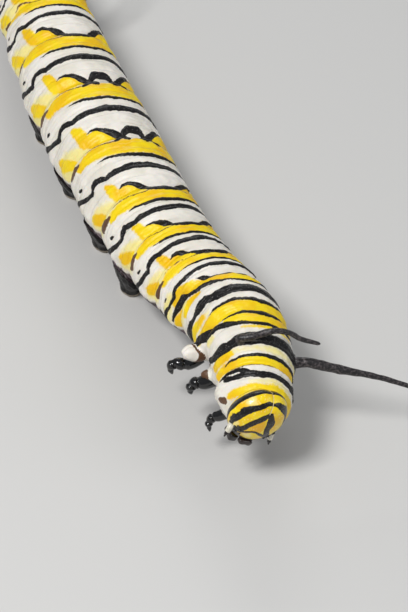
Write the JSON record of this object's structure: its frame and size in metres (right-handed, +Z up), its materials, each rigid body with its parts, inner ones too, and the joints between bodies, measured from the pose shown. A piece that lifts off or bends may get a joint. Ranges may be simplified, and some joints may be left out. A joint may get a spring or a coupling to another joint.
{
  "type": "monarch larva model",
  "caption": "Life-size still model of a striped monarch larva crawling with its front part raised, in named body segments, legs and filaments.",
  "frame": {"origin": "on the floor, under the middle of the whole animal's box", "axes": "the animal faces -Y, its left side is towards +X, and +Z is up"},
  "size_m": [0.0136, 0.0416, 0.0082],
  "materials": {
    "banded_skin": "soft satin skin with black, yellow and white bands",
    "proleg_skin": "soft dark skin with pale soles",
    "filament_skin": "matt grainy black",
    "leg_shell": "glossy black shell",
    "head_shell": "glossy yellow shell with black bands",
    "pale_shell": "glossy pale shell",
    "mouth_shell": "glossy dark shell"
  },
  "bodies": {
    "root": {"head": "head_shell", "labrum": "pale_shell", "mandible_l": "mouth_shell", "mandible_r": "mouth_shell", "labium": "mouth_shell", "antenna_l": "mouth_shell", "antenna_r": "mouth_shell", "thorax_1": "banded_skin", "thorax_2": "banded_skin", "thorax_3": "banded_skin", "abdomen_1": "banded_skin", "abdomen_2": "banded_skin", "abdomen_3": "banded_skin", "abdomen_4": "banded_skin", "abdomen_5": "banded_skin", "abdomen_6": "banded_skin", "abdomen_7": "banded_skin", "abdomen_8": "banded_skin", "abdomen_9": "banded_skin", "abdomen_10": "banded_skin", "leg_1_l": "leg_shell", "leg_1_r": "leg_shell", "leg_2_l": "leg_shell", "leg_2_r": "leg_shell", "leg_3_l": "leg_shell", "leg_3_r": "leg_shell", "proleg_3_l": "proleg_skin", "proleg_3_r": "proleg_skin", "proleg_4_l": "proleg_skin", "proleg_4_r": "proleg_skin", "proleg_5_l": "proleg_skin", "proleg_5_r": "proleg_skin", "proleg_6_l": "proleg_skin", "proleg_6_r": "proleg_skin", "proleg_anal_l": "proleg_skin", "proleg_anal_r": "proleg_skin", "filament_front_l": "filament_skin", "filament_front_r": "filament_skin", "filament_rear_l": "filament_skin", "filament_rear_r": "filament_skin"}
  },
  "joints": []
}
